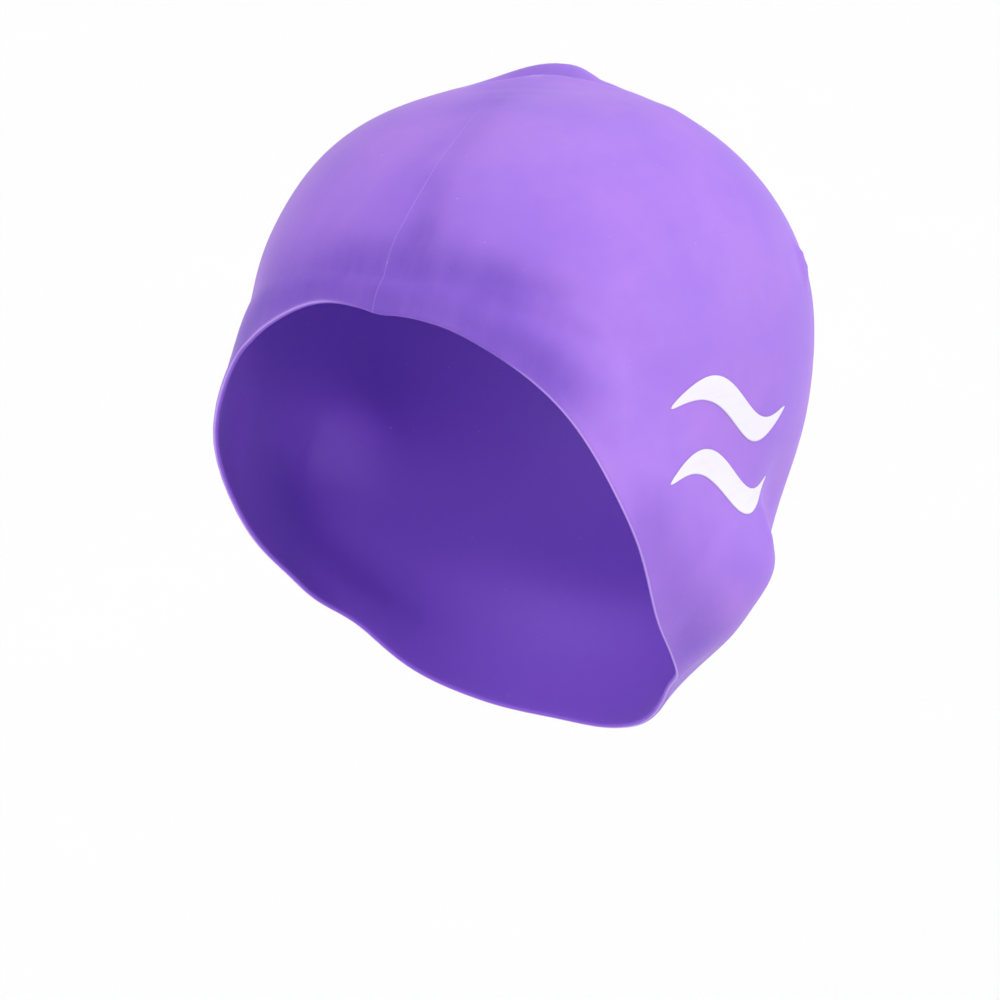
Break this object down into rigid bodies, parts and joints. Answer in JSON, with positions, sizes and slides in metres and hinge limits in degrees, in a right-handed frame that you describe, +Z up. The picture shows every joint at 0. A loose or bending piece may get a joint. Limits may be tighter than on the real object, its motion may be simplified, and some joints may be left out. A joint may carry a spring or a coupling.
{
  "type": "swim cap",
  "caption": "Smooth moulded silicone swim cap in its worn shape, open below, with ear bulges, a forehead band and a white wave print.",
  "frame": {"origin": "on the inside of the crown's top, straight above the middle of the head", "axes": "+Z up through the crown, -Y towards the wearer's face, +X towards the wearer's left ear"},
  "size_m": [0.1672, 0.1706, 0.1996],
  "materials": {
    "silicone": "satin purple silicone",
    "print_ink": "flat white ink film"
  },
  "bodies": {
    "root": {"cap_shell": "silicone", "upper_wave_print": "print_ink", "lower_wave_print": "print_ink"}
  },
  "joints": []
}
